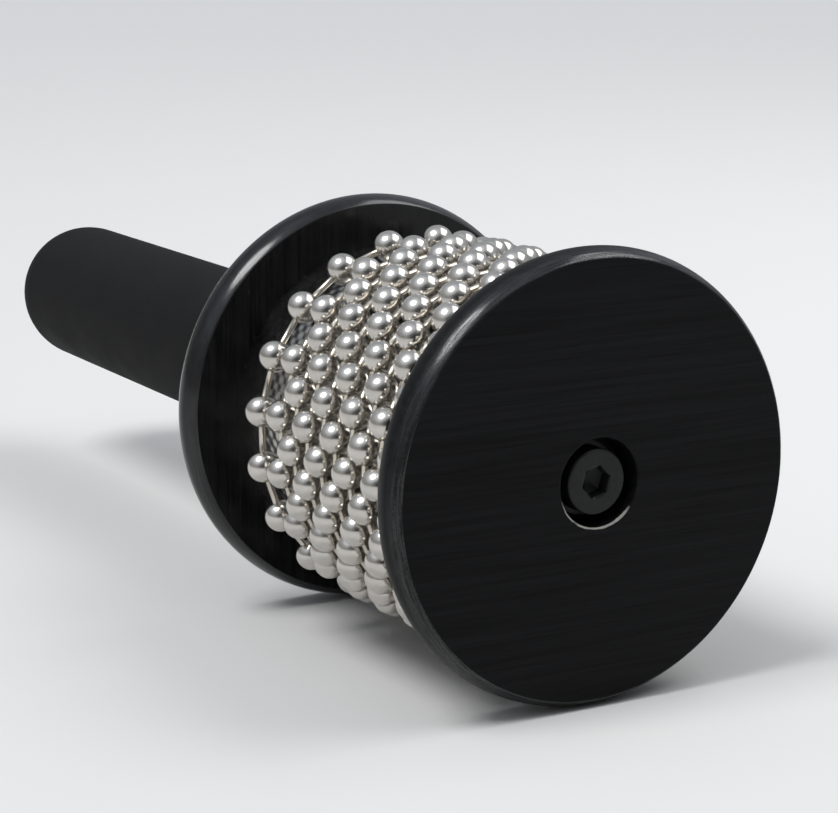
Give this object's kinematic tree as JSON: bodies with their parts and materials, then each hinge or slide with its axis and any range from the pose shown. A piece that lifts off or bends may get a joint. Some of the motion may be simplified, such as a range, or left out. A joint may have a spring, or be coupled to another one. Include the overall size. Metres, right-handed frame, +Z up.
{
  "type": "cabasa",
  "caption": "Hand cabasa: endless steel ball-chain loops that turn on a sleeved wooden drum between round end discs, on a straight gripped handle.",
  "frame": {"origin": "on the surface that it lies on, under the middle of its length", "axes": "+Y from the front disc's face to the handle's tip, +Z up, +X to the right seen from the front"},
  "size_m": [0.08, 0.2396, 0.08],
  "materials": {
    "black_wood": "black stain under clear lacquer",
    "drum_wood": "plain turned wood",
    "sleeve_steel": "embossed stainless sheet",
    "dowel_wood": "plain turned wood",
    "grip_rubber": "soft matt",
    "insert_brass": "machined",
    "bolt_black": "black oxide",
    "bead_steel": "polished nickel plate",
    "link_steel": "nickel plate"
  },
  "bodies": {
    "instrument": {"front_disc": "black_wood", "rear_disc": "black_wood", "drum_core": "drum_wood", "drum_sleeve": "sleeve_steel", "handle_core": "dowel_wood", "handle_grip": "grip_rubber", "threaded_insert": "insert_brass", "center_bolt": "bolt_black", "bolt_washer": "bolt_black"},
    "loop_01": {"chain_01_beads": "bead_steel", "chain_01_links": "link_steel"},
    "loop_02": {"chain_02_beads": "bead_steel", "chain_02_links": "link_steel"},
    "loop_03": {"chain_03_beads": "bead_steel", "chain_03_links": "link_steel"},
    "loop_04": {"chain_04_beads": "bead_steel", "chain_04_links": "link_steel"},
    "loop_05": {"chain_05_beads": "bead_steel", "chain_05_links": "link_steel"},
    "loop_06": {"chain_06_beads": "bead_steel", "chain_06_links": "link_steel"},
    "loop_07": {"chain_07_beads": "bead_steel", "chain_07_links": "link_steel"},
    "loop_08": {"chain_08_beads": "bead_steel", "chain_08_links": "link_steel"},
    "loop_09": {"chain_09_beads": "bead_steel", "chain_09_links": "link_steel"},
    "loop_10": {"chain_10_beads": "bead_steel", "chain_10_links": "link_steel"}
  },
  "joints": [
    {"name": "loop_01_spin", "type": "hinge", "parent": "instrument", "child": "loop_01", "pos_m": [0, -0.1077, 0.04], "axis": [0, 1, 0], "continuous": true},
    {"name": "loop_02_spin", "type": "hinge", "parent": "instrument", "child": "loop_02", "pos_m": [0, -0.1025, 0.04], "axis": [0, 1, 0], "continuous": true},
    {"name": "loop_03_spin", "type": "hinge", "parent": "instrument", "child": "loop_03", "pos_m": [0, -0.0973, 0.04], "axis": [0, 1, 0], "continuous": true},
    {"name": "loop_04_spin", "type": "hinge", "parent": "instrument", "child": "loop_04", "pos_m": [0, -0.0921, 0.04], "axis": [0, 1, 0], "continuous": true},
    {"name": "loop_05_spin", "type": "hinge", "parent": "instrument", "child": "loop_05", "pos_m": [0, -0.0869, 0.04], "axis": [0, 1, 0], "continuous": true},
    {"name": "loop_06_spin", "type": "hinge", "parent": "instrument", "child": "loop_06", "pos_m": [0, -0.0817, 0.04], "axis": [0, 1, 0], "continuous": true},
    {"name": "loop_07_spin", "type": "hinge", "parent": "instrument", "child": "loop_07", "pos_m": [0, -0.0765, 0.04], "axis": [0, 1, 0], "continuous": true},
    {"name": "loop_08_spin", "type": "hinge", "parent": "instrument", "child": "loop_08", "pos_m": [0, -0.0713, 0.04], "axis": [0, 1, 0], "continuous": true},
    {"name": "loop_09_spin", "type": "hinge", "parent": "instrument", "child": "loop_09", "pos_m": [0, -0.0661, 0.04], "axis": [0, 1, 0], "continuous": true},
    {"name": "loop_10_spin", "type": "hinge", "parent": "instrument", "child": "loop_10", "pos_m": [0, -0.0579, 0.04], "axis": [0, 1, 0], "continuous": true}
  ],
  "couplings": [
    {"joint": "loop_02_spin", "follows": "loop_01_spin", "ratio": 1},
    {"joint": "loop_03_spin", "follows": "loop_01_spin", "ratio": 1},
    {"joint": "loop_04_spin", "follows": "loop_01_spin", "ratio": 1},
    {"joint": "loop_05_spin", "follows": "loop_01_spin", "ratio": 1},
    {"joint": "loop_06_spin", "follows": "loop_01_spin", "ratio": 1},
    {"joint": "loop_07_spin", "follows": "loop_01_spin", "ratio": 1},
    {"joint": "loop_08_spin", "follows": "loop_01_spin", "ratio": 1},
    {"joint": "loop_09_spin", "follows": "loop_01_spin", "ratio": 1}
  ]
}
